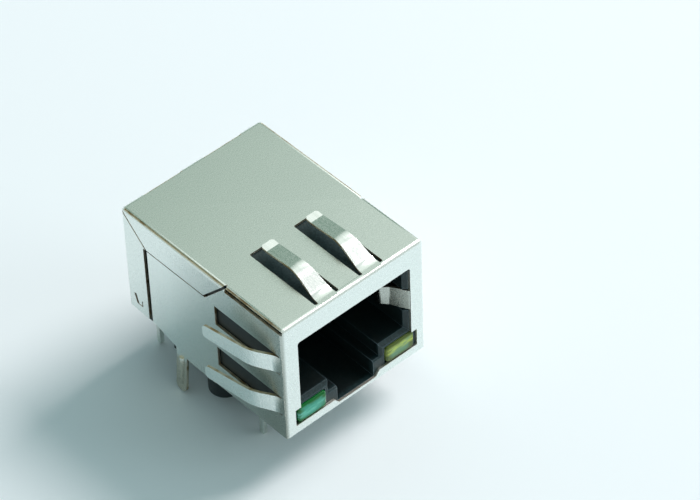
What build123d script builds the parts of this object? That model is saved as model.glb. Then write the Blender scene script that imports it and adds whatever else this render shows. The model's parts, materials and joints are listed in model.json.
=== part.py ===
from build123d import *
import math
import os

os.makedirs("parts", exist_ok=True)

# Shielded modular board jack with two lamps. Sizes are in millimetres.
# X runs across the jack, Y from the mating face to the rear wall and Z up from
# the circuit board. The origin lies between the two locating posts, on the board.

# pressed shield
shield_width = 16.0
shield_depth = 21.0
shield_height = 13.2
sheet = 0.25
bend_radius = 0.4
board_gap = 0.4
post_depth = shield_depth - 9.95
side_inner = shield_width / 2 - sheet


def y_at(depth):
    """Y of a point that lies so far behind the mating face."""
    return depth - post_depth


def z_at(height):
    """Z of a point that lies so far above the lower rim of the shield."""
    return height + board_gap


# mating window and its latch notch
window_rim = 1.6
window_half = shield_width / 2 - window_rim
window_top = shield_height - 2.35
lamp_window_half = window_half + 0.62
lamp_window_top = 3.05
lamp_window_bottom = 1.14
notch_half = 2.13
notch_slope = 0.47
notch_bottom = 0.58
window_corner = 0.25

# inward ground springs on the window edges
spring_bottom = 5.85
spring_top = 8.05
spring_bend_half = window_half - 0.9
spring_bend_depth = 1.7
spring_crest_half = window_half - 1.6
spring_crest_depth = 2.4
spring_tip_half = window_half - 0.9
spring_tip_depth = 4.8
spring_root = 0.4
spring_taper = 0.35

# outward grounding fingers of the top panel
top_finger_x = 2.5
top_slot_width = 2.7
top_slot_front = 0.5
top_slot_rear = 8.87
top_slot_corner = 0.17
top_finger_root = 2.0
top_finger_waist = 1.4
top_finger_start = 0.7
top_foot_radius = 1.8
top_finger_slope = 28.5
top_ramp = 1.38
top_crest_radius = 3.2
top_finger_fall = 4.0
top_finger_crest = 4.3
top_toe_front = 7.3
top_toe_height = 1.06
top_toe_slope = 5.0
top_finger_tip = 8.1

# outward grounding fingers of the side walls
side_window_front = 0.6
side_window_rear = 8.9
side_window_height = 2.25
side_window_centres = (3.85, 8.82)
side_finger_root = 1.95
side_finger_end = 1.38
side_finger_start = 0.45
side_foot_radius = 1.8
side_finger_slope = 29.0
side_ramp = 1.31
side_crest_radius = 4.0
side_tail_slope = 8.0
side_finger_reach = 1.93
side_finger_tip = 8.3
side_finger_nose = 0.4

# seams between the folded panels
top_gap_front = 0.15
top_gap_rear = 7.35
top_gap_low = shield_height - 0.55
top_gap_high = shield_height - 0.23
rim_step = 0.3
top_edge_drop = 0.15
top_edge_width = 0.25
flap_bottom = 10.15
flap_front = 10.2
flap_rear = shield_depth - 3.15
flap_top_rear = shield_depth - 0.25
flap_top_height = shield_height - 0.3
front_seam = 0.24
rear_seam = 0.18
seam = 0.12
rear_slot_front = shield_depth - 3.25
rear_slot_rear = shield_depth - 2.75
relief_x = 3.4
relief_length = 4.4
relief_depth = 0.35

# slits of the small lance in each rear wing
lance_rear = shield_depth - 1.35
lance_front = shield_depth - 1.94
lance_lean = 0.33
lance_low = 2.42
lance_high = 3.5
lance_short = 3.05
lance_slit = 0.3

# lower edges; that of each side wall rises behind the board tab
side_bottom = 0.1
rise_low = 0.65
rise_high = 1.45
rise_rear = shield_depth - 3.6
wing_bottom = 1.6
rear_wall_bottom = 0.9
lip_half = shield_width / 2 - 1.0
lip_relief_front = 0.1
lip_relief_width = 0.8
lip_relief_corner = 0.3

# board tabs, clinches and locating posts
tab_depth = post_depth + 3.0
tab_width = 1.35
tab_length = 4.1
tab_flare = 0.35
tab_bend = 0.1
tab_root = 0.6
rib_radius = 0.3
rib_length = 3.0
rib_height = -1.7
clinch_front = post_depth - 1.45
clinch_rear = post_depth + 2.05
clinch_tip_half = shield_width / 2 - 0.58
clinch_drop = 0.3
clinch_root = 0.5
clinch_ease = 0.15
post_inset = 2.285
post_x = shield_width / 2 - post_inset
post_radius = 1.55
post_length = 3.1
post_bevel = 0.4
flute_width = 0.8
flute_length = 1.3

# front insulator
fit_gap = 0.05
housing_half = side_inner - fit_gap
housing_top = shield_height - sheet - fit_gap
housing_low = 0.1
housing_rear = post_depth + 1.65
housing_edge = 0.2
front_bevel = 0.15
base_half = side_inner - 0.21
cavity_half = window_half - 0.45
cavity_floor = 3.6
cavity_roof = shield_height - 2.75
cavity_depth = housing_rear - 0.8
lead_in = 0.35
latch_wide_half = 2.95
latch_wide_floor = 2.4
latch_half = 2.08
latch_floor = 0.6
latch_depth = cavity_depth - 2.15
latch_lead_in = 0.25
spring_room = 5.6
spring_room_half = cavity_half + 0.8
spring_room_margin = 0.2
recess_half = base_half - 0.18
recess_margin = 0.2

# contacts
contact_pitch = 1.016
contact_count = 8
contact_width = 0.46
contact_sheet = 0.3
contact_bend = 0.42
contact_bend_depth = 2.65
contact_high = cavity_roof + 1.1
contact_low = cavity_roof + 0.2
contact_tip_depth = cavity_depth - 2.5
contact_tip_height = cavity_roof - 2.05
channel_floor = cavity_roof + 0.5
channel_half = 4.6
channel_top = cavity_roof + 1.75
carrier_front = 3.9
carrier_bevel = 0.2
comb_front = contact_bend_depth - 0.35
comb_rear = contact_tip_depth + 0.5
comb_width = contact_width + 0.16

# lamps, their leads in front of the posts and the lower lip in front of the leads
lamp_width = 3.2
lamp_x = lamp_window_half - lamp_width / 2 - 0.34
lamp_height = 1.8
lamp_centre_height = 2.12
lamp_corner = 0.35
lamp_bevel = 0.15
lamp_gap = 0.05
lead_size = 0.5
lead_bend = 0.6
lead_hold = 1.2
lead_spread = 1.27
lead_far = post_depth - 3.95
lead_near = lead_far - 1.75
lamp_length = lead_near - 0.35
lip_depth = 0.6 * lamp_length
lip_relief_rear = lip_depth + 0.7
lead_height = 2.1
lead_channel = 0.84
pin_reach = 4.3
pin_point = 0.12

# rear tray, filter board and signal pins
tray_half = side_inner - 0.15
tray_rear = shield_depth - sheet - 0.1
tray_wall = 0.8
tray_rear_wall = 0.4
tray_floor = 1.5
tray_top = shield_height - 1.0
tray_front_top = channel_floor - fit_gap
foot_half = tray_half - 1.1
foot_front = tab_depth + 1.5
foot_height = 0.85
board_front = housing_rear + tray_wall
board_sheet = 0.8
board_half = tray_half - tray_wall - 0.2
board_top = tray_top
pin_pitch = 2.54
pin_rows = ((shield_depth - 3.6, pin_pitch / 4), (shield_depth - 1.06, -pin_pitch / 4))
pin_size = 0.46
pins_per_row = 1 + 2 * int((tray_half - tray_wall - pin_size - pin_pitch / 4) / pin_pitch)
pin_top = 2.4

# filter windings and the parts on the filter board
core_depth = (board_front + board_sheet + tray_rear - tray_rear_wall) / 2
core_outer = 1.35
core_inner = 0.65
core_thick = 1.5
wire_cover = 0.3
core_first = 1.7
core_step = 3.35
cores_per_side = 1 + int((tray_half - tray_wall - core_first - core_outer - wire_cover) / core_step)
core_sides = [core_first + i * core_step for i in range(cores_per_side)]
core_xs = [-x for x in reversed(core_sides)] + core_sides
winding_turns = 18
potting_top = shield_height / 2 + 0.4
core_height = (tray_floor + potting_top) / 2 + 0.35
solder_tail = 0.5
chip_size = (2.0, 1.25)
chip_pitch = 3.0
chips_per_side = 1 + int((board_half - chip_size[0] / 2 - chip_pitch / 2) / chip_pitch)
chip_xs = [(i - chips_per_side + 0.5) * chip_pitch for i in range(2 * chips_per_side)]
chip_height = potting_top + 3.2
chip_thick = 0.5
chip_bevel = 0.08
capacitor_height = potting_top + 1.3
capacitor_size = (4.5, 2.0)
capacitor_thick = 1.6
capacitor_edge = 0.15

# how far a cutting solid stands over the face that it enters
over = 0.2

side_faces = (
    Plane.YZ.offset(-shield_width / 2 - over),
    Plane.YZ.offset(side_inner - over),
)
side_cut = sheet + 2 * over


def seam_cut(start, end, width):
    """Narrow slit in the side view from one point to another."""
    (y0, z0), (y1, z1) = start, end
    run = math.hypot(y1 - y0, z1 - z0)
    turn = math.degrees(math.atan2(z1 - z0, y1 - y0))
    with Locations((y_at((y0 + y1) / 2), z_at((z0 + z1) / 2))):
        Rectangle(run, width, rotation=turn)


# The hollow inside the folded box, with the inner radius of each fold.
with BuildPart() as hollow:
    with BuildSketch(Plane.XY.offset(z_at(sheet))):
        with Locations((0, y_at(shield_depth / 2))):
            Rectangle(2 * side_inner, shield_depth - 2 * sheet)
    extrude(amount=shield_height - 2 * sheet)
    upper = hollow.faces().sort_by(Axis.Z)[-1].edges()
    lower = hollow.edges().filter_by(Axis.X).group_by(Axis.Z)[0].sort_by(Axis.Y)[:1]
    fillet(hollow.edges().filter_by(Axis.Z) + upper + lower, radius=bend_radius - sheet)

# One outward finger of the top panel: it curves up to a crest, runs back with a
# slight fall and ends in a short flat toe.
with BuildPart() as top_finger:
    with BuildSketch(Plane.YZ.offset(-top_finger_root / 2)):
        with BuildLine():
            root = Line((y_at(sheet), z_at(shield_height)), (y_at(top_finger_start), z_at(shield_height)))
            foot = JernArc(root @ 1, root % 1, top_foot_radius, top_finger_slope)
            ramp = PolarLine(foot @ 1, top_ramp, top_finger_slope)
            crest = JernArc(ramp @ 1, ramp % 1, top_crest_radius, -top_finger_slope - top_finger_fall)
            back = Line(crest @ 1, (y_at(top_toe_front), z_at(shield_height + top_toe_height)))
            PolarLine(back @ 1, top_finger_tip - top_toe_front, top_toe_slope)
            offset(amount=sheet, side=Side.RIGHT)
        make_face()
    extrude(amount=top_finger_root)
    with BuildSketch(Plane.XY.offset(z_at(shield_height - 1))) as top_outline:
        with BuildLine():
            Polyline(
                (0, y_at(0)),
                (top_finger_root / 2, y_at(0)),
                (top_finger_root / 2, y_at(top_slot_front)),
                (top_finger_waist / 2, y_at(top_finger_crest)),
                (top_finger_waist / 2 - 0.02, y_at(top_finger_tip - 0.2)),
                (top_finger_waist / 2 - 0.22, y_at(top_finger_tip)),
                (0, y_at(top_finger_tip)),
                close=True,
            )
        make_face()
        mirror(about=Plane.YZ)
    extrude(amount=4, mode=Mode.INTERSECT)

# One outward finger of the right side wall, about the height of its window. It
# bows out from the wall near the mating face and its tail runs on nearly straight.
with BuildPart() as side_finger:
    with BuildSketch(Plane.XY.offset(-side_finger_root / 2)):
        with BuildLine():
            root = Line((shield_width / 2, y_at(sheet)), (shield_width / 2, y_at(side_finger_start)))
            foot = JernArc(root @ 1, root % 1, side_foot_radius, -side_finger_slope)
            ramp = PolarLine(foot @ 1, side_ramp, 90 - side_finger_slope)
            bow = JernArc(ramp @ 1, ramp % 1, side_crest_radius, side_finger_slope - side_tail_slope)
            Line(bow @ 1, (shield_width / 2 + side_finger_reach, y_at(side_finger_tip)))
            offset(amount=sheet, side=Side.LEFT)
        make_face()
    extrude(amount=side_finger_root)
    with BuildSketch(Plane.YZ.offset(side_inner - over)) as side_outline:
        with BuildLine():
            Polyline(
                (y_at(0), 0),
                (y_at(0), side_finger_root / 2),
                (y_at(side_window_front), side_finger_root / 2),
                (y_at(side_finger_tip), side_finger_end / 2),
                (y_at(side_finger_tip), 0),
                close=True,
            )
        make_face()
        mirror(about=Plane.XZ)
        fillet(side_outline.vertices().group_by(Axis.X)[-1], radius=side_finger_nose)
    extrude(amount=4, mode=Mode.INTERSECT)

# One ground spring: it turns in from the window edge in two steps to a crest and
# runs back out towards the side wall.
with BuildPart() as ground_spring:
    with BuildSketch(Plane.XY.offset(z_at(spring_bottom))):
        with BuildLine():
            FilletPolyline(
                (window_half + spring_root, y_at(0)),
                (window_half, y_at(0)),
                (spring_bend_half, y_at(spring_bend_depth)),
                (spring_crest_half, y_at(spring_crest_depth)),
                (spring_tip_half, y_at(spring_tip_depth)),
                radius=bend_radius,
            )
            offset(amount=sheet, side=Side.RIGHT)
        make_face()
    extrude(amount=spring_top - spring_bottom)
    with BuildSketch(Plane.YZ.offset(window_half / 2)):
        with BuildLine():
            Polyline(
                (y_at(-over), z_at(spring_bottom)),
                (y_at(1), z_at(spring_bottom)),
                (y_at(spring_tip_depth + over), z_at(spring_bottom + spring_taper)),
                (y_at(spring_tip_depth + over), z_at(spring_top - spring_taper)),
                (y_at(1), z_at(spring_top)),
                (y_at(-over), z_at(spring_top)),
                close=True,
            )
        make_face()
    extrude(amount=window_half, mode=Mode.INTERSECT)

# One clinch: the lower edge of the side wall rolled in under the base.
with BuildPart() as clinch:
    with BuildSketch(Plane.XZ.offset(-y_at(clinch_rear))):
        with BuildLine():
            FilletPolyline(
                (shield_width / 2, z_at(clinch_root)),
                (shield_width / 2, z_at(-clinch_drop)),
                (clinch_tip_half, z_at(-clinch_drop)),
                radius=bend_radius,
            )
            offset(amount=sheet, side=Side.RIGHT)
        make_face()
    extrude(amount=clinch_rear - clinch_front)
    toe = clinch.faces().sort_by(Axis.X)[0]
    chamfer(toe.edges().filter_by(Axis.Z), length=clinch_ease)

# One board tab with a rounded end and a pressed rib. It flares outward, so that
# it springs against the wall of its hole in the board.
with BuildPart() as board_tab:
    with BuildSketch(Plane.XZ.offset(-y_at(tab_depth + tab_width / 2))):
        with BuildLine():
            FilletPolyline(
                (shield_width / 2, z_at(tab_root)),
                (shield_width / 2, z_at(-tab_bend)),
                (shield_width / 2 + tab_flare, z_at(-tab_length)),
                radius=bend_radius,
            )
            offset(amount=sheet, side=Side.RIGHT)
        make_face()
    extrude(amount=tab_width)
    with BuildSketch(Plane.YZ.offset(side_inner - over)):
        with Locations((y_at(tab_depth), z_at(tab_root - (tab_length + tab_root) / 2 + tab_width / 2))):
            RectangleRounded(tab_width, tab_length + tab_root + tab_width, tab_width / 2 - fit_gap)
    extrude(amount=tab_flare + side_cut, mode=Mode.INTERSECT)
    tab_lean = math.degrees(math.atan2(tab_flare, tab_length - tab_bend))
    rib_x = side_inner + tab_flare * (rib_height + tab_bend) / (tab_bend - tab_length)
    with Locations(Location((rib_x + rib_radius / 2, y_at(tab_depth), z_at(rib_height)), (0, -tab_lean, 0))):
        Cylinder(rib_radius, rib_length)
    with Locations(Location((rib_x, y_at(tab_depth), z_at(rib_height)), (0, -tab_lean, 0))):
        Cylinder(rib_radius / 2, rib_length - sheet, mode=Mode.SUBTRACT)

# The shield, one pressed and folded sheet.
with BuildPart() as shield:
    with BuildSketch(Plane.XY.offset(z_at(0))):
        with Locations((0, y_at(shield_depth / 2))):
            Rectangle(shield_width, shield_depth)
    extrude(amount=shield_height)
    upper = shield.faces().sort_by(Axis.Z)[-1].edges()
    lower = shield.edges().filter_by(Axis.X).group_by(Axis.Z)[0].sort_by(Axis.Y)[:1]
    fillet(shield.edges().filter_by(Axis.Z) + upper + lower, radius=bend_radius)
    add(hollow.part, mode=Mode.SUBTRACT)

    # open bottom behind the short front lip, and a relief beside the lip
    with BuildSketch(Plane.XY.offset(z_at(-over))):
        with Locations((0, y_at((lip_depth + shield_depth - sheet) / 2))):
            Rectangle(2 * side_inner, shield_depth - sheet - lip_depth)
        for side in (-1, 1):
            relief_place = (side * (lip_half + lip_relief_width / 2), y_at((lip_relief_front + lip_relief_rear) / 2))
            with Locations(relief_place):
                RectangleRounded(lip_relief_width, lip_relief_rear - lip_relief_front, lip_relief_corner)
            with Locations((side * lip_half, y_at(lip_depth))):
                Rectangle(lip_relief_width, lip_relief_width, rotation=45)
    extrude(amount=sheet + 2 * over, mode=Mode.SUBTRACT)

    # lower edges of the side walls, wings and rear wall
    with BuildSketch(*side_faces):
        with BuildLine():
            Polyline(
                (y_at(sheet), z_at(-over)),
                (y_at(sheet), z_at(side_bottom)),
                (y_at(tab_depth + tab_width / 2), z_at(side_bottom)),
                (y_at(tab_depth + tab_width / 2), z_at(rise_low)),
                (y_at(rise_rear), z_at(rise_high)),
                (y_at(shield_depth + over), z_at(wing_bottom)),
                (y_at(shield_depth + over), z_at(-over)),
                close=True,
            )
        make_face()
    extrude(amount=side_cut, mode=Mode.SUBTRACT)
    with BuildSketch(Plane.XZ.offset(-y_at(shield_depth + over))):
        with Locations((0, z_at((rear_wall_bottom - over) / 2))):
            Rectangle(shield_width + over, rear_wall_bottom + over)
    extrude(amount=sheet + 2 * over, mode=Mode.SUBTRACT)

    # seams of the side flap, the front gap, the slot before the rear wing and its lance
    with BuildSketch(*side_faces):
        seam_cut((top_gap_rear, shield_height), (flap_front, flap_bottom), front_seam)
        seam_cut((flap_front - seam, flap_bottom), (flap_rear, flap_bottom), seam)
        seam_cut((flap_rear, flap_bottom), (flap_top_rear, flap_top_height), rear_seam)
        with Locations((y_at((rear_slot_front + rear_slot_rear) / 2), z_at(flap_bottom / 2))):
            Rectangle(rear_slot_rear - rear_slot_front, flap_bottom)
        with Locations((y_at((top_gap_front + top_gap_rear) / 2), z_at((top_gap_low + top_gap_high) / 2))):
            Rectangle(top_gap_rear - top_gap_front, top_gap_high - top_gap_low)
        seam_cut((lance_rear + lance_lean, lance_high), (lance_rear, lance_low), lance_slit)
        seam_cut((lance_front, lance_short), (lance_front, lance_low), seam)
        seam_cut((lance_rear, lance_low), (lance_front - seam / 2, lance_low), seam)
    extrude(amount=side_cut, mode=Mode.SUBTRACT)
    with BuildSketch(Plane.XY.offset(z_at(shield_height - rim_step))):
        for side in (-1, 1):
            with Locations((side * shield_width / 2, y_at((top_gap_front + top_gap_rear) / 2))):
                Rectangle(rim_step, top_gap_rear - top_gap_front)
    extrude(amount=rim_step + over, mode=Mode.SUBTRACT)

    # long edges of the top panel, cut a step inside the side walls
    with BuildSketch(Plane.XY.offset(z_at(shield_height - top_edge_drop))):
        for side in (-1, 1):
            with Locations((side * shield_width / 2, y_at(shield_depth / 2))):
                Rectangle(2 * top_edge_width, shield_depth - 2 * bend_radius)
    extrude(amount=top_edge_drop + over, mode=Mode.SUBTRACT)

    # relief slots in the fold between the top and the rear wall
    with BuildSketch(Plane.XY.offset(z_at(shield_height - relief_depth))):
        with Locations((relief_x, y_at(shield_depth)), (-relief_x, y_at(shield_depth))):
            Rectangle(relief_length, 2 * relief_depth)
    extrude(amount=relief_depth + over, mode=Mode.SUBTRACT)

    # windows of the outward fingers
    with BuildSketch(*side_faces):
        for centre in side_window_centres:
            with Locations((y_at((side_window_front + side_window_rear) / 2), z_at(centre))):
                Rectangle(side_window_rear - side_window_front, side_window_height)
    extrude(amount=side_cut, mode=Mode.SUBTRACT)
    with BuildSketch(Plane.XY.offset(z_at(shield_height - sheet - over))):
        for side in (-1, 1):
            with Locations((side * top_finger_x, y_at((top_slot_front + top_slot_rear) / 2))):
                RectangleRounded(top_slot_width, top_slot_rear - top_slot_front, top_slot_corner)
    extrude(amount=sheet + 2 * over, mode=Mode.SUBTRACT)

    # mating window with the lamp openings and the latch notch
    with BuildSketch(Plane.XZ.offset(-y_at(sheet + over))) as window:
        with BuildLine():
            Polyline(
                (0, z_at(notch_bottom)),
                (notch_half, z_at(notch_bottom)),
                (notch_half + notch_slope, z_at(lamp_window_bottom)),
                (lamp_window_half, z_at(lamp_window_bottom)),
                (lamp_window_half, z_at(lamp_window_top)),
                (window_half, z_at(lamp_window_top)),
                (window_half, z_at(window_top)),
                (0, z_at(window_top)),
                close=True,
            )
        make_face()
        mirror(about=Plane.YZ)
        fillet(window.vertices().group_by(Axis.Y)[-1], radius=window_corner)
    extrude(amount=sheet + 2 * over, mode=Mode.SUBTRACT)

    # fingers, springs, clinches and board tabs
    for side in (-1, 1):
        with Locations((side * top_finger_x, 0, 0)):
            add(top_finger.part)
    for centre in side_window_centres:
        with Locations((0, 0, z_at(centre))):
            add(side_finger.part)
    add(ground_spring.part)
    add(clinch.part)
    add(board_tab.part)
    mirror(shield.part, about=Plane.YZ)
shield.part.label = "shield"
export_step(shield.part, "parts/shield.step")

# One contact: soldered in the filter board, carried forward over the cavity,
# bent down at the mouth and sloping back into the cavity as a free spring.
with BuildPart() as contact:
    with BuildSketch(Plane.YZ.offset(-contact_width / 2)):
        with BuildLine():
            FilletPolyline(
                (y_at(board_front + board_sheet + solder_tail), z_at(contact_high + contact_sheet / 2)),
                (y_at(contact_bend_depth), z_at(contact_high + contact_sheet / 2)),
                (y_at(contact_bend_depth), z_at(contact_low)),
                (y_at(contact_tip_depth), z_at(contact_tip_height)),
                radius=contact_bend,
            )
            offset(amount=contact_sheet, side=Side.LEFT)
        make_face()
    extrude(amount=contact_width)

contact_xs = [(i - (contact_count - 1) / 2) * contact_pitch for i in range(contact_count)]
for i, x in enumerate(contact_xs):
    with BuildPart() as one_contact:
        with Locations((x, 0, 0)):
            add(contact.part)
    one_contact.part.label = "contact_" + str(i + 1)
    export_step(one_contact.part, "parts/contact_" + str(i + 1) + ".step")

# Insulating carrier moulded round the upper legs of the eight contacts.
with BuildPart() as contact_carrier:
    with BuildSketch(Plane.XY.offset(z_at(channel_floor))):
        with Locations((0, y_at((carrier_front + board_front) / 2))):
            Rectangle(2 * (channel_half - fit_gap), board_front - carrier_front)
    extrude(amount=channel_top - fit_gap - channel_floor)
    chamfer(contact_carrier.edges().filter_by(Axis.Y).group_by(Axis.Z)[-1], length=carrier_bevel)
    with Locations(*[(x, 0, 0) for x in contact_xs]):
        add(contact.part, mode=Mode.SUBTRACT)
contact_carrier.part.label = "contact_carrier"
export_step(contact_carrier.part, "parts/contact_carrier.step")

# Front insulator: plug cavity, latch slot, lamp pockets, contact comb and posts.
with BuildPart() as housing:
    with BuildSketch(Plane.XY.offset(z_at(housing_low))):
        with Locations((0, y_at((sheet + housing_rear) / 2))):
            Rectangle(2 * housing_half, housing_rear - sheet)
    extrude(amount=housing_top - housing_low)
    upper = housing.faces().sort_by(Axis.Z)[-1].edges()
    chamfer(housing.edges().filter_by(Axis.Z) + upper, length=housing_edge)
    with BuildSketch(Plane.XY.offset(z_at(0))):
        with Locations((0, y_at(lip_depth / 2))):
            Rectangle(2 * housing_half + 1, lip_depth + 2 * fit_gap)
    extrude(amount=sheet + fit_gap, mode=Mode.SUBTRACT)
    chamfer(housing.faces().sort_by(Axis.Y)[0].edges().sort_by(Axis.Z)[:1], length=front_bevel)
    with BuildSketch(Plane.XY):
        with Locations((0, y_at((lip_depth + fit_gap + housing_rear) / 2))):
            Rectangle(2 * base_half, housing_rear - lip_depth - fit_gap)
    extrude(amount=board_gap + over)

    # plug cavity with its lead-in and the stepped latch slot
    with BuildSketch(Plane.XZ.offset(-y_at(sheet))):
        with Locations((0, z_at((cavity_floor + cavity_roof) / 2))):
            Rectangle(2 * cavity_half, cavity_roof - cavity_floor)
    extrude(amount=sheet - cavity_depth, mode=Mode.SUBTRACT)
    with BuildSketch(Plane.XZ.offset(-y_at(sheet))):
        with Locations((0, z_at((latch_wide_floor + cavity_floor) / 2))):
            Rectangle(2 * latch_wide_half, cavity_floor - latch_wide_floor + over)
        with Locations((0, z_at((latch_floor + latch_wide_floor) / 2))):
            Rectangle(2 * latch_half, latch_wide_floor - latch_floor)
    extrude(amount=sheet - latch_depth, mode=Mode.SUBTRACT)
    with BuildSketch(Plane.XZ.offset(-y_at(sheet))):
        with Locations((0, z_at((cavity_floor + cavity_roof) / 2))):
            Rectangle(2 * (cavity_half + lead_in), cavity_roof - cavity_floor + 2 * lead_in)
    with BuildSketch(Plane.XZ.offset(-y_at(sheet + lead_in))):
        with Locations((0, z_at((cavity_floor + cavity_roof) / 2))):
            Rectangle(2 * cavity_half, cavity_roof - cavity_floor)
    loft(mode=Mode.SUBTRACT)
    with BuildSketch(Plane.XZ.offset(-y_at(sheet))):
        with Locations((0, z_at((latch_wide_floor + cavity_floor) / 2))):
            Rectangle(2 * (latch_wide_half + latch_lead_in), cavity_floor - latch_wide_floor + 2 * latch_lead_in)
    with BuildSketch(Plane.XZ.offset(-y_at(sheet + latch_lead_in))):
        with Locations((0, z_at((latch_wide_floor + cavity_floor) / 2))):
            Rectangle(2 * latch_wide_half, cavity_floor - latch_wide_floor)
    loft(mode=Mode.SUBTRACT)

    # room for the ground springs in the side walls of the cavity
    with BuildSketch(Plane.XY.offset(z_at(spring_bottom - spring_room_margin))):
        with Locations((0, y_at(spring_room / 2))):
            Rectangle(2 * spring_room_half, spring_room)
    extrude(amount=spring_top - spring_bottom + 2 * spring_room_margin, mode=Mode.SUBTRACT)

    # channel of the contact carrier, open to the rear, and the comb below it
    with BuildSketch(Plane.XZ.offset(-y_at(housing_rear))):
        with Locations((0, z_at((channel_floor + channel_top) / 2))):
            Rectangle(2 * channel_half, channel_top - channel_floor)
    extrude(amount=housing_rear - carrier_front + fit_gap, mode=Mode.SUBTRACT)
    with BuildSketch(Plane.XY.offset(z_at(cavity_roof - over))):
        for x in contact_xs:
            with Locations((x, y_at((comb_front + comb_rear) / 2))):
                Rectangle(comb_width, comb_rear - comb_front)
    extrude(amount=channel_top - cavity_roof + over - fit_gap, mode=Mode.SUBTRACT)

    # lamp pockets and the lead channels that open to the board
    with BuildSketch(Plane.XZ.offset(-y_at(sheet))):
        for side in (-1, 1):
            with Locations((side * lamp_x, z_at(lamp_centre_height))):
                Rectangle(lamp_width + 2 * lamp_gap, lamp_height + 2 * lamp_gap)
    extrude(amount=sheet - lamp_length, mode=Mode.SUBTRACT)
    with BuildSketch(Plane.XY):
        for x, reach in (
            (lamp_x + lead_spread, lead_far),
            (lamp_x - lead_spread, lead_near),
            (-lamp_x + lead_spread, lead_far),
            (-lamp_x - lead_spread, lead_near),
        ):
            with Locations((x, y_at((reach + lead_channel / 2) / 2))):
                Rectangle(lead_channel, reach + lead_channel / 2)
    extrude(amount=z_at(lead_height + lead_channel / 2), mode=Mode.SUBTRACT)

    # recesses over the clinches
    with BuildSketch(Plane.XY):
        for side in (-1, 1):
            with Locations((side * (recess_half + over), y_at((clinch_front + clinch_rear) / 2))):
                Rectangle(2 * over, clinch_rear - clinch_front + 2 * recess_margin)
    extrude(amount=board_gap - clinch_drop + sheet, mode=Mode.SUBTRACT)

    # locating posts, each with a bevelled end and a flute down its front
    with BuildSketch(Plane.XY.offset(-post_length)):
        with Locations((post_x, 0), (-post_x, 0)):
            Circle(post_radius)
    extrude(amount=post_length + over)
    chamfer(housing.edges().group_by(Axis.Z)[0], length=post_bevel)
    with BuildSketch(Plane.XY.offset(-post_length)):
        with Locations((post_x, -post_radius), (-post_x, -post_radius)):
            SlotOverall(flute_length, flute_width, rotation=90)
    extrude(amount=post_length, mode=Mode.SUBTRACT)
housing.part.label = "housing"
export_step(housing.part, "parts/housing.step")

# Lamp leads: a short run back from the lamp, then straight down to the board.
lead_reaches = {
    "led_lead_1": (-lamp_x - lead_spread, lead_near),
    "led_lead_2": (-lamp_x + lead_spread, lead_far),
    "led_lead_3": (lamp_x - lead_spread, lead_near),
    "led_lead_4": (lamp_x + lead_spread, lead_far),
}
lead_parts = {}
for name, (x, reach) in lead_reaches.items():
    with BuildPart() as lead:
        with BuildSketch(Plane.YZ.offset(x - lead_size / 2)):
            with BuildLine():
                FilletPolyline(
                    (y_at(lamp_length - lead_hold), z_at(lead_height + lead_size / 2)),
                    (y_at(reach + lead_size / 2), z_at(lead_height + lead_size / 2)),
                    (y_at(reach + lead_size / 2), z_at(-pin_reach)),
                    radius=lead_bend,
                )
                offset(amount=lead_size, side=Side.RIGHT)
            make_face()
        extrude(amount=lead_size)
        chamfer(lead.faces().sort_by(Axis.Z)[0].edges(), length=pin_point)
    lead.part.label = name
    lead_parts[name] = lead.part
    export_step(lead.part, "parts/" + name + ".step")

# Lamps: clear bars whose bevelled front ends stand in the mating window.
for name, side in (("led_green", -1), ("led_yellow", 1)):
    with BuildPart() as led:
        with BuildSketch(Plane.XZ.offset(-y_at(lamp_length))):
            with Locations((side * lamp_x, z_at(lamp_centre_height))):
                RectangleRounded(lamp_width, lamp_height, lamp_corner)
        extrude(amount=lamp_length)
        chamfer(led.faces().sort_by(Axis.Y)[0].edges(), length=lamp_bevel)
        for lead_name, (x, reach) in lead_reaches.items():
            if x * side > 0:
                add(lead_parts[lead_name], mode=Mode.SUBTRACT)
    led.part.label = name
    export_step(led.part, "parts/" + name + ".step")

# Signal pins in two staggered rows.
pin_places = []
for row_depth, shift in pin_rows:
    for i in range(pins_per_row):
        pin_places.append((shift + (i - (pins_per_row - 1) / 2) * pin_pitch, row_depth))
pin_parts = []
for i, (x, row_depth) in enumerate(pin_places):
    with BuildPart() as pin:
        with BuildSketch(Plane.XY.offset(z_at(-pin_reach))):
            with Locations((x, y_at(row_depth))):
                Rectangle(pin_size, pin_size)
        extrude(amount=pin_reach + pin_top)
        chamfer(pin.faces().sort_by(Axis.Z)[0].edges(), length=pin_point)
    pin.part.label = "signal_pin_" + str(i + 1)
    pin_parts.append(pin.part)
    export_step(pin.part, "parts/signal_pin_" + str(i + 1) + ".step")

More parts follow.
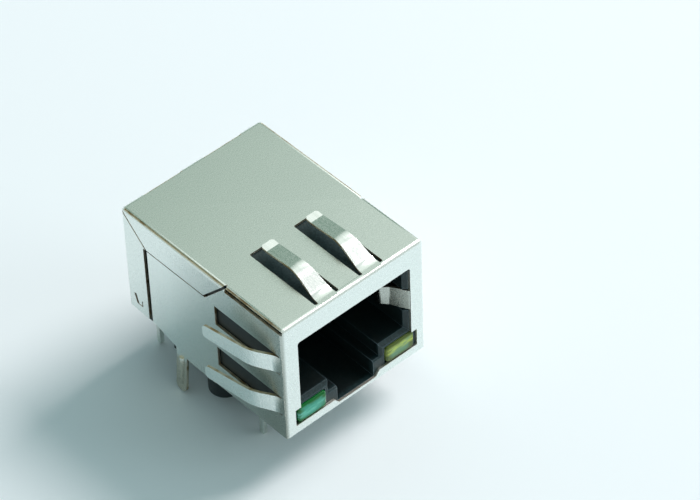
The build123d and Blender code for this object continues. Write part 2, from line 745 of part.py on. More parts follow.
# Rear tray: an open box that carries the pins and the potted filter parts. Its
# foot is narrower than the box, clear of the rising edges of the side walls.
with BuildPart() as rear_tray:
    with BuildSketch(Plane.XY):
        with Locations((0, y_at((housing_rear + tray_rear) / 2))):
            Rectangle(2 * tray_half, tray_rear - housing_rear)
    extrude(amount=z_at(tray_top))
    chamfer(rear_tray.edges().filter_by(Axis.Z), length=housing_edge)
    with BuildSketch(Plane.XY):
        for side in (-1, 1):
            with Locations((side * (foot_half + tray_half + over) / 2, y_at((foot_front + tray_rear + over) / 2))):
                Rectangle(tray_half + over - foot_half, tray_rear + over - foot_front)
    extrude(amount=z_at(foot_height), mode=Mode.SUBTRACT)
    with BuildSketch(Plane.XY.offset(z_at(tray_floor))):
        with Locations((0, y_at((board_front + tray_rear - tray_rear_wall) / 2))):
            Rectangle(2 * (tray_half - tray_wall), tray_rear - tray_rear_wall - board_front)
    extrude(amount=tray_top, mode=Mode.SUBTRACT)
    with BuildSketch(Plane.XZ.offset(-y_at(board_front))):
        with Locations((0, z_at((tray_front_top + tray_top + over) / 2))):
            Rectangle(2 * (tray_half - tray_wall), tray_top - tray_front_top + over)
    extrude(amount=tray_wall, mode=Mode.SUBTRACT)
    with BuildSketch(Plane.XY):
        for side in (-1, 1):
            with Locations((side * (recess_half + over), y_at((housing_rear + clinch_rear + recess_margin) / 2))):
                Rectangle(2 * over, clinch_rear + recess_margin - housing_rear)
    extrude(amount=board_gap - clinch_drop + sheet, mode=Mode.SUBTRACT)
    for pin_part in pin_parts:
        add(pin_part, mode=Mode.SUBTRACT)
rear_tray.part.label = "rear_tray"
export_step(rear_tray.part, "parts/rear_tray.step")

# Upright filter board behind the cavity, pierced by the contacts.
with BuildPart() as magnetics_board:
    with BuildSketch(Plane.XZ.offset(-y_at(board_front + board_sheet))):
        with Locations((0, z_at((tray_floor + board_top) / 2))):
            Rectangle(2 * board_half, board_top - tray_floor)
    extrude(amount=board_sheet)
    with Locations(*[(x, 0, 0) for x in contact_xs]):
        add(contact.part, mode=Mode.SUBTRACT)
magnetics_board.part.label = "magnetics_board"
export_step(magnetics_board.part, "parts/magnetics_board.step")

# Ring cores and their windings, standing side by side in the tray.
embedded = list(pin_parts)
for i, x in enumerate(core_xs):
    with BuildPart() as core:
        with BuildSketch(Plane.XZ.offset(-y_at(core_depth + core_thick / 2))):
            with Locations((x, z_at(core_height))):
                Circle(core_outer)
                Circle(core_inner, mode=Mode.SUBTRACT)
        extrude(amount=core_thick)
    core.part.label = "core_" + str(i + 1)
    export_step(core.part, "parts/core_" + str(i + 1) + ".step")
    with BuildPart() as winding:
        with BuildSketch(Plane.XZ.offset(-y_at(core_depth + core_thick / 2 + wire_cover))):
            with Locations((x, z_at(core_height))):
                RegularPolygon(core_outer + wire_cover, winding_turns)
                RegularPolygon(core_inner - wire_cover, winding_turns // 2, mode=Mode.SUBTRACT)
        extrude(amount=core_thick + 2 * wire_cover)
        add(core.part, mode=Mode.SUBTRACT)
    winding.part.label = "winding_" + str(i + 1)
    export_step(winding.part, "parts/winding_" + str(i + 1) + ".step")
    embedded.append(core.part)
    embedded.append(winding.part)

# Soft potting that holds the wound cores in the tray.
with BuildPart() as potting:
    with BuildSketch(Plane.XY.offset(z_at(tray_floor))):
        with Locations((0, y_at((board_front + board_sheet + tray_rear - tray_rear_wall) / 2))):
            Rectangle(2 * (tray_half - tray_wall), tray_rear - tray_rear_wall - board_front - board_sheet)
    extrude(amount=potting_top - tray_floor)
    for body in embedded:
        add(body, mode=Mode.SUBTRACT)
potting.part.label = "potting"
export_step(potting.part, "parts/potting.step")

# Surface parts on the rear face of the filter board.
chip_face = board_front + board_sheet
for i, x in enumerate(chip_xs):
    with BuildPart() as resistor:
        with BuildSketch(Plane.XZ.offset(-y_at(chip_face + chip_thick))):
            with Locations((x, z_at(chip_height))):
                Rectangle(*chip_size)
        extrude(amount=chip_thick)
        chamfer(resistor.faces().sort_by(Axis.Y)[-1].edges(), length=chip_bevel)
    resistor.part.label = "resistor_" + str(i + 1)
    export_step(resistor.part, "parts/resistor_" + str(i + 1) + ".step")
with BuildPart() as hv_capacitor:
    with BuildSketch(Plane.XZ.offset(-y_at(chip_face + capacitor_thick))):
        with Locations((0, z_at(capacitor_height))):
            Rectangle(*capacitor_size)
    extrude(amount=capacitor_thick)
    chamfer(hv_capacitor.faces().sort_by(Axis.Y)[-1].edges(), length=capacitor_edge)
hv_capacitor.part.label = "hv_capacitor"
export_step(hv_capacitor.part, "parts/hv_capacitor.step")
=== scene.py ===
import bpy
import bmesh
import json
import math
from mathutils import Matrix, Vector

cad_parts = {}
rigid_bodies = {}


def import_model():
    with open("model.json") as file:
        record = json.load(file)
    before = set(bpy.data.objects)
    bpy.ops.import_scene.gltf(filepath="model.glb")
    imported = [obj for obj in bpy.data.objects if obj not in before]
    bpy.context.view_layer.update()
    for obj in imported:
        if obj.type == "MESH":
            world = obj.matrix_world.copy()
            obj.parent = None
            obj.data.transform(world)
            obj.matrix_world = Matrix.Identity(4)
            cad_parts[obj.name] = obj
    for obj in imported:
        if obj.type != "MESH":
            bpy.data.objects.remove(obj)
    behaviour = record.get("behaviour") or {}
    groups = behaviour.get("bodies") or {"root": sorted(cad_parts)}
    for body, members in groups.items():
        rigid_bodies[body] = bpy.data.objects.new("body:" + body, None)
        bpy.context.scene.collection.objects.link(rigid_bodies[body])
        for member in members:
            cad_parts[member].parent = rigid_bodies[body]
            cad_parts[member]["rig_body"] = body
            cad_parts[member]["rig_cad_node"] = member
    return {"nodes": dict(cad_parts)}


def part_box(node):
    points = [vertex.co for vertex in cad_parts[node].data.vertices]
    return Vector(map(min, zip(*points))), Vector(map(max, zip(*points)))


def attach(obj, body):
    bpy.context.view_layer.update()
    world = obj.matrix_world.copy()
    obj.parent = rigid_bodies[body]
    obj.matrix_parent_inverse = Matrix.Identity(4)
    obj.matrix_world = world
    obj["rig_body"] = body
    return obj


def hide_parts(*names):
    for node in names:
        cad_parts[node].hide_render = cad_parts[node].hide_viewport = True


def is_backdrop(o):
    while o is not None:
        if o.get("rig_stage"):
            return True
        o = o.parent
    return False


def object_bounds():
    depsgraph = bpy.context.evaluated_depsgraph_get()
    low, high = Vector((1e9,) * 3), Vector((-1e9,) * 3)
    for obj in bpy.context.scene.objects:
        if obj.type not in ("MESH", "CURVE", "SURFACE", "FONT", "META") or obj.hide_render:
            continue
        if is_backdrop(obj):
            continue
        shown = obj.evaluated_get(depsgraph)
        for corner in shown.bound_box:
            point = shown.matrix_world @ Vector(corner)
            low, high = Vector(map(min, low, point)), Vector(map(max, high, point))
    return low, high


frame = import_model()
cad_low, cad_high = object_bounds()
nodes = frame["nodes"]
mm = 0.001

# Shield. One pressed sheet of tin-plated steel, 0.25 mm thick, folded round the
# plastic parts and clinched under them. The plate is matte with a fine rolled
# grain, the fingers are burnished by the press, and the cut edges show raw steel.
mating_face = cad_low[1]
top_panel = 13.6 * mm
left_wall = -8 * mm
shield_corner = 0.03 * mm
widest_cut_face = 0.32 * mm
finger_toe_fold = (mating_face + 7.3 * mm, top_panel + 1.06 * mm)
fold_angle = 40
smooth_angle = 32
plate_dull, plate_bright = (0.72, 0.79, 0.75), (0.92, 0.97, 0.94)
wall_plate = (0.83, 0.89, 0.86)
plate_cloud = (0.78, 0.84, 0.81)
rubbed_and_highlit_tin = (0.97, 0.98, 0.95)
streak_dull, streak_bright = (0.78, 0.84, 0.81), (0.96, 1.0, 0.98)
wall_shade_tin = (0.34, 0.37, 0.33)
low_tab_tin = (0.56, 0.54, 0.46)
raw_steel, browned_steel, highlit_rim_steel = (0.64, 0.6, 0.48), (0.38, 0.29, 0.16), (0.8, 0.82, 0.76)


def deselect_all():
    for other in bpy.data.objects:
        other.select_set(False)
    bpy.context.view_layer.objects.active = None


def narrow_regions(mesh, widest, corner_angle):
    """Polygons of the smooth regions that are no wider than the cut edge of a sheet."""
    shape = bmesh.new()
    shape.from_mesh(mesh)
    found = set()
    seen = set()
    for start in shape.faces:
        if start in seen:
            continue
        seen.add(start)
        front, region, rim = [start], [], 0.0
        while front:
            face = front.pop()
            region.append(face)
            for edge in face.edges:
                if len(edge.link_faces) != 2 or edge.calc_face_angle(0) > corner_angle:
                    rim += edge.calc_length()
                    continue
                for other in edge.link_faces:
                    if other not in seen:
                        seen.add(other)
                        front.append(other)
        if 2 * sum(face.calc_area() for face in region) < widest * rim:
            found.update(face.index for face in region)
    shape.free()
    return found


def welded_copy(node, looks):
    """A copy of a solid's mesh, merged into whole faces, with the first of the looks."""
    deselect_all()
    source = nodes[node]
    piece = source.copy()
    piece.data = source.data.copy()
    piece.parent = None
    piece.name = node + "_finish"
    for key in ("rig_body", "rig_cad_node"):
        if key in piece:
            del piece[key]
    bpy.context.scene.collection.objects.link(piece)
    piece.select_set(True)
    bpy.context.view_layer.objects.active = piece
    bpy.ops.object.mode_set(mode="EDIT")
    bpy.ops.mesh.select_all(action="SELECT")
    bpy.ops.mesh.remove_doubles(threshold=0.0002 * mm)
    bpy.ops.mesh.customdata_custom_splitnormals_clear()
    bpy.ops.mesh.dissolve_limited(angle_limit=math.radians(0.5))
    bpy.ops.object.mode_set(mode="OBJECT")
    piece.data.materials.clear()
    for look in looks:
        piece.data.materials.append(look)
    for polygon in piece.data.polygons:
        polygon.material_index = 0
    return piece


def soften_corners(piece, width, segments, corner_angle):
    bevel = piece.modifiers.new("soft_corners", "BEVEL")
    bevel.width = width
    bevel.segments = segments
    bevel.limit_method = "ANGLE"
    bevel.angle_limit = math.radians(corner_angle)
    bevel.use_clamp_overlap = True
    bevel.harden_normals = False
    bpy.ops.object.modifier_apply(modifier=bevel.name)


def keep_folds_sharp(piece, folds):
    """Marks the folds across a sheet, given as depth and height, as sharp."""
    reach = 0.06 * mm
    for line in piece.data.edges:
        ends = [piece.data.vertices[i].co for i in line.vertices]
        for depth, height in folds:
            if all(abs(end.y - depth) < reach and abs(end.z - height) < reach for end in ends):
                line.use_edge_sharp = True


def dressed_copy(node, corner, segments, corner_angle, looks, cut_face=0, sharp_folds=()):
    """A welded copy of a solid with softly rounded corners, which stands for it.
    Where a cut face's width is given, the faces up to it get the second of the looks."""
    piece = welded_copy(node, looks)
    if cut_face:
        for index in narrow_regions(piece.data, cut_face, math.radians(corner_angle)):
            piece.data.polygons[index].material_index = 1
    soften_corners(piece, corner, segments, corner_angle)
    bpy.ops.object.shade_smooth_by_angle(angle=math.radians(smooth_angle))
    keep_folds_sharp(piece, sharp_folds)
    even = piece.modifiers.new("flat_panels", "WEIGHTED_NORMAL")
    even.keep_sharp = True
    even.weight = 100
    bpy.ops.object.modifier_apply(modifier=even.name)
    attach(piece, "root")
    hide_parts(node)
    return piece


def new_material(name, color, metallic, roughness):
    material = bpy.data.materials.new(name)
    material.use_nodes = True
    shader = material.node_tree.nodes["Principled BSDF"]
    shader.inputs["Base Color"].default_value = (*color, 1)
    shader.inputs["Metallic"].default_value = metallic
    shader.inputs["Roughness"].default_value = roughness
    return material, shader


def add_node(tree, kind, **settings):
    node = tree.nodes.new(kind)
    for key, value in settings.items():
        setattr(node, key, value)
    return node


def feed(tree, socket, value):
    """Links an output to a socket, or sets a plain number or colour on it."""
    if hasattr(value, "links"):
        tree.links.new(value, socket)
    elif isinstance(value, tuple):
        socket.default_value = (*value, 1)
    else:
        socket.default_value = value


def mix_colors(tree, factor, low, high):
    mixer = add_node(tree, "ShaderNodeMix", data_type="RGBA")
    for place, value in ((0, factor), (6, low), (7, high)):
        feed(tree, mixer.inputs[place], value)
    return mixer.outputs[2]


def calculate(tree, operation, *values):
    """One sum on up to three numbers, each an output or a plain value."""
    step = add_node(tree, "ShaderNodeMath", operation=operation)
    for place, value in enumerate(values):
        feed(tree, step.inputs[place], value)
    return step.outputs[0]


def remap(tree, value, low, high, to_low, to_high):
    ranger = add_node(tree, "ShaderNodeMapRange")
    tree.links.new(value, ranger.inputs["Value"])
    ranger.inputs["From Min"].default_value = low
    ranger.inputs["From Max"].default_value = high
    ranger.inputs["To Min"].default_value = to_low
    ranger.inputs["To Max"].default_value = to_high
    return ranger.outputs["Result"]


def split_axes(tree, vector):
    split = add_node(tree, "ShaderNodeSeparateXYZ")
    tree.links.new(vector, split.inputs[0])
    return split.outputs


def make_grain_group():
    """Speckle and cloudy patches on Object coordinates, as on plate or moulded skin."""
    tree = bpy.data.node_groups.new("surface_grain", "ShaderNodeTree")
    for name, kind, value in (
        ("Size", "NodeSocketFloat", 0.1),
        ("Stretch", "NodeSocketVector", (1, 1, 1)),
        ("Patch Size", "NodeSocketFloat", 4.0),
    ):
        socket = tree.interface.new_socket(name, in_out="INPUT", socket_type=kind)
        socket.default_value = value
    for name in ("Speckle", "Patches"):
        tree.interface.new_socket(name, in_out="OUTPUT", socket_type="NodeSocketFloat")
    entry = add_node(tree, "NodeGroupInput")
    leave = add_node(tree, "NodeGroupOutput")
    place = add_node(tree, "ShaderNodeTexCoord")
    stretch = add_node(tree, "ShaderNodeVectorMath", operation="MULTIPLY")
    tree.links.new(place.outputs["Object"], stretch.inputs[0])
    tree.links.new(entry.outputs["Stretch"], stretch.inputs[1])
    speckle = add_node(tree, "ShaderNodeTexNoise")
    speckle.inputs["Detail"].default_value = 3
    speckle.inputs["Roughness"].default_value = 0.65
    tree.links.new(stretch.outputs[0], speckle.inputs["Vector"])
    patches = add_node(tree, "ShaderNodeTexNoise")
    patches.inputs["Detail"].default_value = 2
    tree.links.new(place.outputs["Object"], patches.inputs["Vector"])
    for noise, size in ((speckle, "Size"), (patches, "Patch Size")):
        feed(tree, noise.inputs["Scale"], calculate(tree, "DIVIDE", 1 / mm, entry.outputs[size]))
    tree.links.new(speckle.outputs["Fac"], leave.inputs["Speckle"])
    tree.links.new(patches.outputs["Fac"], leave.inputs["Patches"])
    return tree


def make_edge_group():
    """A mask of the outer corners, for a painted highlight there together with wear that has rubbed
    them bright.
    """
    tree = bpy.data.node_groups.new("edge_rub_and_highlight", "ShaderNodeTree")
    socket = tree.interface.new_socket("Reach", in_out="INPUT", socket_type="NodeSocketFloat")
    socket.default_value = 0.1 * mm
    tree.interface.new_socket("Mask", in_out="OUTPUT", socket_type="NodeSocketFloat")
    entry = add_node(tree, "NodeGroupInput")
    leave = add_node(tree, "NodeGroupOutput")
    rounded = add_node(tree, "ShaderNodeBevel", samples=6)
    tree.links.new(entry.outputs["Reach"], rounded.inputs["Radius"])
    flat = add_node(tree, "ShaderNodeNewGeometry")
    facing = add_node(tree, "ShaderNodeVectorMath", operation="DOT_PRODUCT")
    tree.links.new(rounded.outputs["Normal"], facing.inputs[0])
    tree.links.new(flat.outputs["Normal"], facing.inputs[1])
    mask = remap(tree, facing.outputs["Value"], 1.0, 0.8, 0.0, 1.0)
    tree.links.new(mask, leave.inputs["Mask"])
    return tree


surface_grain = make_grain_group()
edge_rub_and_highlight = make_edge_group()


def place_group(tree, group, **values):
    node = add_node(tree, "ShaderNodeGroup", node_tree=group)
    for name, value in values.items():
        node.inputs[name.replace("_", " ")].default_value = value
    return node


def add_bump(tree, shader, height, distance, strength):
    bump = add_node(tree, "ShaderNodeBump")
    bump.inputs["Distance"].default_value = distance
    bump.inputs["Strength"].default_value = strength
    tree.links.new(height, bump.inputs["Height"])
    tree.links.new(bump.outputs["Normal"], shader.inputs["Normal"])


def uneven_sheen(tree, grain, hollow, peak):
    """A roughness that goes from hollow to peak with the speckle of a grain."""
    return remap(tree, grain.outputs["Speckle"], 0.3, 0.7, hollow, peak)


# The plate is speckled where it lies flat and quieter on the walls.
shield_plate, shader = new_material("shield_plate", wall_plate, 1.0, 0.28)
tree = shield_plate.node_tree
axes = split_axes(tree, add_node(tree, "ShaderNodeTexCoord").outputs["Object"])
across, depth, height = axes["X"], axes["Y"], axes["Z"]
facing = split_axes(tree, add_node(tree, "ShaderNodeNewGeometry").outputs["Normal"])
grain = place_group(tree, surface_grain, Size=0.11, Stretch=(0.7, 1.0, 1.0), Patch_Size=5.0)
rub_and_highlight = place_group(tree, edge_rub_and_highlight, Reach=0.1 * mm)
speckle = remap(tree, grain.outputs["Speckle"], 0.35, 0.65, 0, 1)
plate = mix_colors(tree, speckle, plate_dull, plate_bright)
plate = mix_colors(tree, remap(tree, facing["Z"], 0.7, 0.3, 0, 0.7), plate, wall_plate)
clouds = remap(tree, grain.outputs["Patches"], 0.35, 0.75, 0, 0.3)
plate = mix_colors(tree, clouds, plate, plate_cloud)
# Painted highlight on the outer corners, together with rubbed wear.
plate = mix_colors(tree, rub_and_highlight.outputs["Mask"], plate, rubbed_and_highlit_tin)

# The press has drawn streaks along the raised fingers.
streaks = place_group(tree, surface_grain, Size=0.22, Stretch=(1, 0.04, 0.04), Patch_Size=1.0)
drawn = remap(tree, streaks.outputs["Speckle"], 0.35, 0.65, 0, 1)
raised = remap(tree, height, top_panel + 0.05 * mm, top_panel + 0.3 * mm, 0, 0.8)
plate = mix_colors(tree, raised, plate, mix_colors(tree, drawn, streak_dull, streak_bright))

# Painted shade darkens the front and lower part of the left wall, for the shadowed floor that it
# mirrors; the tabs below the base are darker and browner.
painted_wall_shade = remap(tree, facing["X"], -0.3, -0.8, 0, 1)
for part in (
    remap(tree, depth, mating_face + 15.05 * mm, mating_face + 1.55 * mm, 0, 1),
    remap(tree, height, top_panel + 0.4 * mm, top_panel - 8.6 * mm, 0.6, 1),
    remap(tree, across, left_wall - 0.2 * mm, left_wall - 0.02 * mm, 0, 1),
):
    painted_wall_shade = calculate(tree, "MULTIPLY", painted_wall_shade, part)
plate = mix_colors(tree, painted_wall_shade, plate, wall_shade_tin)
plate = mix_colors(tree, remap(tree, height, 0.4 * mm, -0.2 * mm, 0, 1), plate, low_tab_tin)
feed(tree, shader.inputs["Base Color"], plate)

# The front slopes of the raised fingers are the smoothest.
burnished = calculate(tree, "MULTIPLY", raised, remap(tree, facing["Y"], -0.1, -0.4, 0, 1.25))
smoother = add_node(tree, "ShaderNodeMix", data_type="FLOAT")
smoother.inputs[3].default_value = 0.15
feed(tree, smoother.inputs[0], burnished)
feed(tree, smoother.inputs[2], uneven_sheen(tree, grain, 0.33, 0.23))
feed(tree, shader.inputs["Roughness"], smoother.outputs[0])
add_bump(tree, shader, grain.outputs["Speckle"], 0.005 * mm, 0.4)

# Cut edges have browned in patches; round the window they carry a painted highlight.
raw_edge, shader = new_material("shield_raw_edge", browned_steel, 1.0, 0.42)
tree = raw_edge.node_tree
grain = place_group(tree, surface_grain, Size=0.08, Stretch=(1, 1, 3), Patch_Size=1.2)
browned = remap(tree, grain.outputs["Patches"], 0.48, 0.64, 0, 1)
sheared = mix_colors(tree, browned, raw_steel, browned_steel)
depth = split_axes(tree, add_node(tree, "ShaderNodeTexCoord").outputs["Object"])["Y"]
window_rim_highlight = remap(tree, depth, mating_face + 0.65 * mm, mating_face + 0.45 * mm, 0, 0.8)
feed(tree, shader.inputs["Base Color"], mix_colors(tree, window_rim_highlight, sheared, highlit_rim_steel))
feed(tree, shader.inputs["Roughness"], uneven_sheen(tree, grain, 0.3, 0.55))
add_bump(tree, shader, grain.outputs["Speckle"], 0.01 * mm, 0.6)

shield = dressed_copy(
    "shield", shield_corner, 2, fold_angle, (shield_plate, raw_edge),
    widest_cut_face, (finger_toe_fold,))

# Housing and rear tray. Two black glass-filled mouldings with a satin skin; the
# front one holds the plug cavity and the posts, the rear one the pins. They meet
# behind the posts and are held together by the shield.
moulding_corner = 0.06 * mm
cavity_shade_black = (0.001, 0.002, 0.002)
skin_dark, skin_pale = (0.004, 0.014, 0.016), (0.02, 0.046, 0.05)
rubbed_and_highlit_nylon = (0.13, 0.19, 0.22)

black_moulding, shader = new_material("black_moulding", (0.008, 0.012, 0.013), 0.0, 0.4)
shader.inputs["Specular IOR Level"].default_value = 0.35
tree = black_moulding.node_tree
grain = place_group(tree, surface_grain, Size=0.18, Stretch=(1, 1, 1), Patch_Size=3.0)
rub_and_highlight = place_group(tree, edge_rub_and_highlight, Reach=0.12 * mm)
axes = split_axes(tree, add_node(tree, "ShaderNodeTexCoord").outputs["Object"])
depth, height = axes["Y"], axes["Z"]
# Painted shade: faces away from the top and the front are mixed towards near black, so the hollows
# read dark and the top and front faces lighter.
lit_faces = calculate(
    tree, "MAXIMUM",
    remap(tree, height, top_panel - 1.0 * mm, top_panel - 0.6 * mm, 0.3, 1),
    remap(tree, depth, mating_face + 0.85 * mm, mating_face + 0.55 * mm, 0.3, 1),
)
speckle = remap(tree, grain.outputs["Speckle"], 0.35, 0.7, 0, 1)
skin = mix_colors(tree, lit_faces, cavity_shade_black, mix_colors(tree, speckle, skin_dark, skin_pale))
# Painted highlight on the corners near the front, together with rubbed wear.
near_plug = remap(tree, depth, mating_face + 1.05 * mm, mating_face + 2.05 * mm, 1, 0.3)
worn_and_highlit = calculate(tree, "MULTIPLY", rub_and_highlight.outputs["Mask"], near_plug)
feed(tree, shader.inputs["Base Color"], mix_colors(tree, worn_and_highlit, skin, rubbed_and_highlit_nylon))
feed(tree, shader.inputs["Roughness"], uneven_sheen(tree, grain, 0.36, 0.52))
add_bump(tree, shader, grain.outputs["Speckle"], 0.01 * mm, 0.35)
for name in ("housing", "rear_tray"):
    moulding = dressed_copy(name, moulding_corner, 2, fold_angle, (black_moulding,))

# Lamps. Two clear-cast resin bars, tinted green and yellow, pushed into the front
# corners of the housing. Each face has a painted glow in the middle, for light that comes
# back from inside, and is deep in colour at the rim; a painted highlight streak crosses it,
# and the tint also pools in soft clouds.
lamp_corner = 0.08 * mm
lamp_corner_angle = 25
lamp_looks = {
    "led_green": {
        "slot": "green_lens", "rim": (0.0, 0.13, 0.02), "middle": (0.02, 0.31, 0.2),
        "highlight_streak": (0.12, 0.5, 0.38), "highlight_level": -0.1,
    },
    "led_yellow": {
        "slot": "yellow_lens", "rim": (0.08, 0.12, 0.02), "middle": (0.12, 0.26, 0.14),
        "highlight_streak": (0.5, 0.6, 0.08), "highlight_level": 0.35,
    },
}


def tinted_resin(name, look, low, high):
    """Resin for a lamp between two corners; -1 and 1 are the edges of its face."""
    material, shader = new_material(name, look["middle"], 0.0, 0.16)
    tree = material.node_tree
    axes = split_axes(tree, add_node(tree, "ShaderNodeTexCoord").outputs["Object"])
    sideways = remap(tree, axes["X"], low[0], high[0], -1, 1)
    upward = remap(tree, axes["Z"], low[2], high[2], -1, 1)
    outward = calculate(
        tree, "MAXIMUM", calculate(tree, "ABSOLUTE", sideways), calculate(tree, "ABSOLUTE", upward))
    cloud = place_group(tree, surface_grain, Size=0.45, Stretch=(0.35, 1, 1.6), Patch_Size=0.9)
    uneven = calculate(tree, "MULTIPLY_ADD", cloud.outputs["Patches"], 0.7, outward)
    body = mix_colors(tree, remap(tree, uneven, 0.85, 1.15, 0, 1), look["middle"], look["rim"])
    # Painted highlight: a bright streak across the face at a set height.
    apart = calculate(tree, "ABSOLUTE", calculate(tree, "SUBTRACT", upward, look["highlight_level"]))
    highlight_band = calculate(
        tree, "MULTIPLY",
        remap(tree, apart, 0.15, 0.55, 1, 0),
        remap(tree, cloud.outputs["Speckle"], 0.42, 0.58, 0.25, 0.95),
    )
    feed(tree, shader.inputs["Base Color"], mix_colors(tree, highlight_band, body, look["highlight_streak"]))
    feed(tree, shader.inputs["Roughness"], uneven_sheen(tree, cloud, 0.1, 0.24))
    shader.inputs["Specular IOR Level"].default_value = 0.3
    shader.inputs["Coat Weight"].default_value = 0.1
    shader.inputs["Coat Roughness"].default_value = 0.06
    shader.inputs["Subsurface Weight"].default_value = 0.2
    shader.inputs["Subsurface Radius"].default_value = (0.3 * mm, 0.4 * mm, 0.3 * mm)
    return material


for name, look in lamp_looks.items():
    low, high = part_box(name)
    resin = tinted_resin(look["slot"] + "_resin", look, low, high)
    lamp = dressed_copy(name, lamp_corner, 3, lamp_corner_angle, (resin,))


# Pins and lamp leads. Square tinned wire, cut with a short point; they are pressed
# through the base before it is potted, and solder to the board.
def clouded_finish(name, metallic, dark, pale, sheen, size, stretch, patch_size):
    """A finish that drifts from dark to pale, with a sheen that follows its grain."""
    material, shader = new_material(name, pale, metallic, sum(sheen) / 2)
    tree = material.node_tree
    grain = place_group(tree, surface_grain, Size=size, Stretch=stretch, Patch_Size=patch_size)
    feed(tree, shader.inputs["Base Color"], mix_colors(tree, grain.outputs["Patches"], dark, pale))
    feed(tree, shader.inputs["Roughness"], uneven_sheen(tree, grain, *sheen))
    return material, shader, grain


wire_corner = 0.04 * mm
tinned_wire, shader, grain = clouded_finish(
    "tinned_wire", 1.0, (0.6, 0.66, 0.61), (0.82, 0.85, 0.8), (0.2, 0.38), 0.1, (1, 1, 0.15), 1.5)
add_bump(tinned_wire.node_tree, shader, grain.outputs["Speckle"], 0.006 * mm, 0.5)
wires = ["signal_pin_" + str(i) for i in range(1, 11)] + ["led_lead_" + str(i) for i in range(1, 5)]
for name in wires:
    wire = dressed_copy(name, wire_corner, 2, fold_angle, (tinned_wire,))

# Contacts. Phosphor bronze strip, plated bright gold where the plug rubs, bent over
# the cavity roof and held in a grey moulded carrier.
contact_corner = 0.03 * mm
gold_strip, shader, grain = clouded_finish(
    "gold_strip", 1.0, (0.78, 0.56, 0.24), (0.93, 0.76, 0.42), (0.14, 0.3), 0.08, (3, 0.3, 1), 1.0)
for i in range(1, 9):
    contact = dressed_copy("contact_" + str(i), contact_corner, 2, fold_angle, (gold_strip,))

# Inner parts. The carrier, the filter board with its fired chips, and the wound
# ferrite rings in their silicone potting sit behind the cavity, out of sight.
# A finish gives its members, metal share, dark and pale colour, sheen and grain.
inner_finishes = {
    "grey_moulding": (
        ("contact_carrier",), 0.0, (0.03, 0.033, 0.036), (0.06, 0.065, 0.07), (0.42, 0.58), 0.15),
    "green_solder_mask": (
        ("magnetics_board",), 0.0, (0.02, 0.12, 0.05), (0.04, 0.2, 0.09), (0.27, 0.43), 0.1),
    "black_ferrite": (
        ["core_" + str(i) for i in range(1, 5)], 0.0,
        (0.02, 0.02, 0.022), (0.06, 0.06, 0.06), (0.52, 0.68), 0.06),
    "lacquered_copper": (
        ["winding_" + str(i) for i in range(1, 5)], 1.0,
        (0.5, 0.2, 0.08), (0.72, 0.36, 0.18), (0.22, 0.38), 0.12),
    "cast_silicone": (
        ("potting",), 0.0, (0.3, 0.31, 0.29), (0.45, 0.46, 0.43), (0.37, 0.53), 0.3),
    "tan_ceramic": (
        ("hv_capacitor",), 0.0, (0.4, 0.3, 0.19), (0.55, 0.44, 0.3), (0.42, 0.58), 0.08),
    "dark_ceramic": (
        ["resistor_" + str(i) for i in range(1, 5)], 0.0,
        (0.03, 0.03, 0.035), (0.08, 0.08, 0.09), (0.37, 0.53), 0.06),
}
for name, (members, metallic, dark, pale, sheen, size) in inner_finishes.items():
    finish, shader, grain = clouded_finish(
        name, metallic, dark, pale, sheen, size, (1, 1, 1), patch_size=size * 12)
    add_bump(finish.node_tree, shader, grain.outputs["Speckle"], 0.008 * mm, 0.4)
    for member in members:
        nodes[member].data.materials.clear()
        nodes[member].data.materials.append(finish)

# Floor. A pale blue-white sheet of card that runs out of the frame; the jack
# stands on its pins and tabs.
floor_level = cad_low[2]
floor_side = 3
deselect_all()
bpy.ops.mesh.primitive_plane_add(size=floor_side, location=(0, 0, floor_level))
floor = bpy.context.active_object
floor.name = "floor"
card, shader = new_material("pale_card", (0.87, 0.925, 0.94), 0.0, 0.85)
shader.inputs["Specular IOR Level"].default_value = 0.2
floor.data.materials.append(card)
floor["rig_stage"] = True

# Room. The metal mirrors it, dim behind the jack and bright before it, and the
# floor gets only a dim glow from it, the stronger one from the right.
towards_front = (0.38, -0.82, 0.42)
dim_side, bright_side = (0.05, 0.16, 0.1), (1.0, 1.07, 1.01)
far_back, overhead = (0.55, 0.62, 0.58), (0.62, 0.68, 0.66)
glow_left, glow_right = (0.18, 0.26, 0.27), (0.42, 0.57, 0.59)
backdrop = (0.87, 0.95, 0.97)

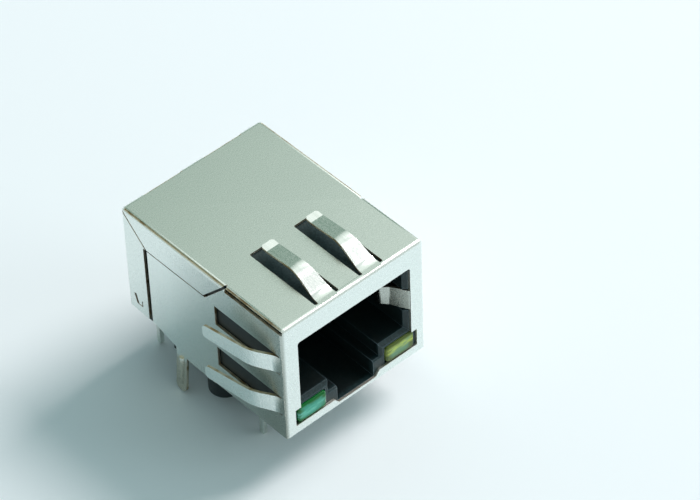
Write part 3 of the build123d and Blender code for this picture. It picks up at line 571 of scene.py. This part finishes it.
world = bpy.data.worlds.new("pale_room")
bpy.context.scene.world = world
world.use_nodes = True
tree = world.node_tree
direction = add_node(tree, "ShaderNodeTexCoord").outputs["Generated"]
forward = add_node(tree, "ShaderNodeVectorMath", operation="DOT_PRODUCT")
forward.inputs[1].default_value = towards_front
tree.links.new(direction, forward.inputs[0])
nearness = forward.outputs["Value"]
mirrored = mix_colors(tree, remap(tree, nearness, -0.06, 0.105, 0, 1), dim_side, bright_side)
mirrored = mix_colors(tree, remap(tree, nearness, -0.14, -0.4, 0, 1), mirrored, far_back)
mirrored = mix_colors(tree, remap(tree, nearness, 0.2, 0.6, 0, 1), mirrored, overhead)
rightward = remap(tree, split_axes(tree, direction)["X"], -0.5, 0.5, 0, 1)
glow = mix_colors(tree, rightward, glow_left, glow_right)
ray = add_node(tree, "ShaderNodeLightPath")
lit = mix_colors(tree, ray.outputs["Is Diffuse Ray"], mirrored, glow)
seen = mix_colors(tree, ray.outputs["Is Camera Ray"], lit, backdrop)
feed(tree, tree.nodes["Background"].inputs["Color"], seen)


# Lamps of the studio. A soft one stands to the right, so that the shadow falls to
# the left; a weak one before it clears the floor under the mating face, and the
# metal doesn't mirror it.
def soft_lamp(name, location, size, power, color, in_mirror):
    data = bpy.data.lights.new(name, "AREA")
    data.shape = "DISK"
    data.size = size
    data.energy = power
    data.color = color
    lamp = bpy.data.objects.new(name, data)
    bpy.context.scene.collection.objects.link(lamp)
    lamp.location = location
    lamp.rotation_euler = Vector(location).to_track_quat("Z", "Y").to_euler()
    lamp.visible_glossy = in_mirror


soft_lamp("key_lamp", (0.735, -0.115, 0.74), 0.5, 9.7, (1.0, 0.9, 0.9), in_mirror=True)
soft_lamp("front_fill", (0.55, -0.66, 0.4), 0.5, 1.3, (0.88, 0.98, 1.0), in_mirror=False)

# Camera. It stands before and above the jack, to its left. A fit to the corners
# of the jack gave its place, turn and lens.
camera_data = bpy.data.cameras.new("photo_camera")
camera_data.lens = 193.8
camera_data.sensor_width = 36
camera = bpy.data.objects.new("photo_camera", camera_data)
bpy.context.scene.collection.objects.link(camera)
camera.location = (-0.1453, -0.18023, 0.23708)
camera.rotation_euler = tuple(math.radians(turn) for turn in (45.463, 1.678, -42.266))
bpy.context.scene.camera = camera
bpy.context.scene.view_settings.view_transform = "Standard"

low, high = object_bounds()
